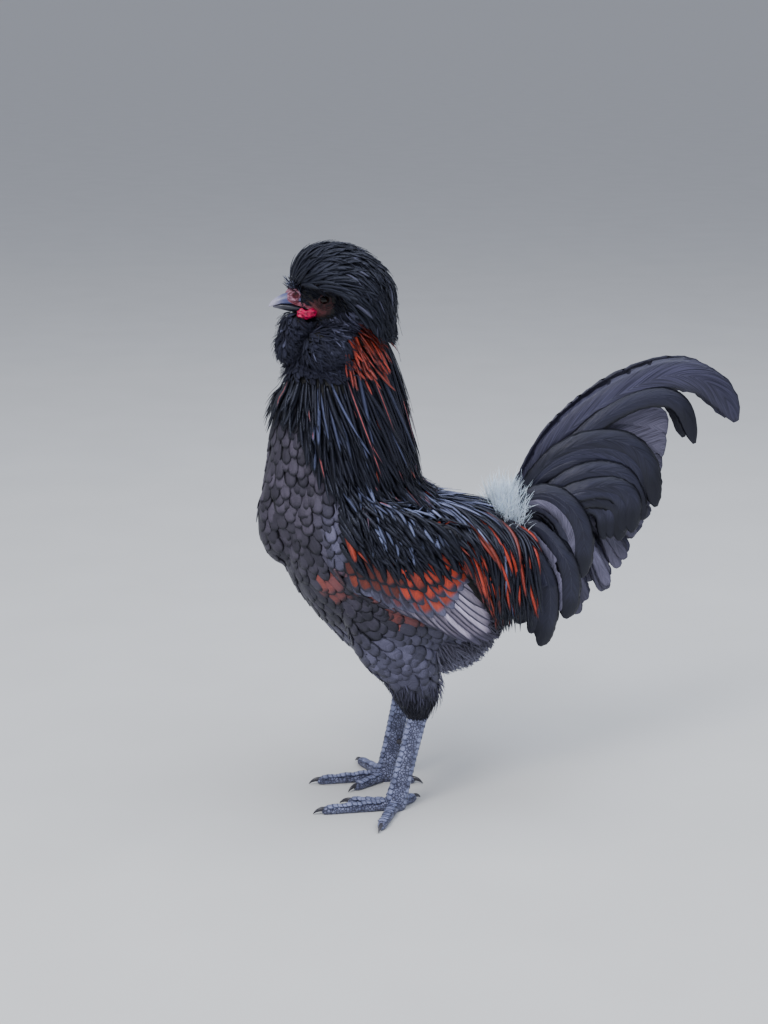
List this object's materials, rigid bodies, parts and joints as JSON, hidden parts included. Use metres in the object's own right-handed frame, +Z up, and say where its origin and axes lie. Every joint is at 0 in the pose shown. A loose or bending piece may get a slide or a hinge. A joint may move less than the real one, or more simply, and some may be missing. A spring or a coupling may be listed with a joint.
{
  "type": "crested bearded cockerel",
  "caption": "Crested, bearded cockerel standing alert, life size, with full hackle, sickle tail and scaled shanks.",
  "frame": {"origin": "bottom centre of the bounding box, at floor level under the body", "axes": "+Z up; the bird faces -Y; its left side is +X"},
  "size_m": [0.1754, 0.4188, 0.4782],
  "materials": {
    "eye": "glossy, nearly black eye",
    "claw": "dark horn",
    "bill": "slate-blue horn with a paler tip",
    "wattle": "bright red bare skin",
    "face_skin": "dark red bare skin, black feathered",
    "shank_scale": "slate scutes",
    "body_feather": "taupe-grey feathers with dark lacing",
    "wing_feather": "orange-red and slate wing feathers",
    "tail_feather": "slate tail feathers",
    "hackle": "black glossy feathers with orange streaks",
    "crest_feather": "black feathers with a blue sheen"
  },
  "bodies": {
    "root": {"beard": "crest_feather", "bill_lower": "bill", "bill_upper": "bill", "claw_left_hind": "claw", "claw_left_inner": "claw", "claw_left_middle": "claw", "claw_left_outer": "claw", "claw_right_hind": "claw", "claw_right_inner": "claw", "claw_right_middle": "claw", "claw_right_outer": "claw", "crest": "crest_feather", "eye_left": "eye", "eye_right": "eye", "head": "face_skin", "muff_left": "crest_feather", "muff_right": "crest_feather", "neck": "hackle", "saddle": "hackle", "shank_left": "shank_scale", "shank_right": "shank_scale", "spur_left": "claw", "spur_right": "claw", "tail": "tail_feather", "thigh_left": "body_feather", "thigh_right": "body_feather", "toe_left_hind": "shank_scale", "toe_left_inner": "shank_scale", "toe_left_middle": "shank_scale", "toe_left_outer": "shank_scale", "toe_right_hind": "shank_scale", "toe_right_inner": "shank_scale", "toe_right_middle": "shank_scale", "toe_right_outer": "shank_scale", "torso": "body_feather", "wattle_left": "wattle", "wattle_right": "wattle", "wing_left": "wing_feather", "wing_right": "wing_feather"}
  },
  "joints": []
}
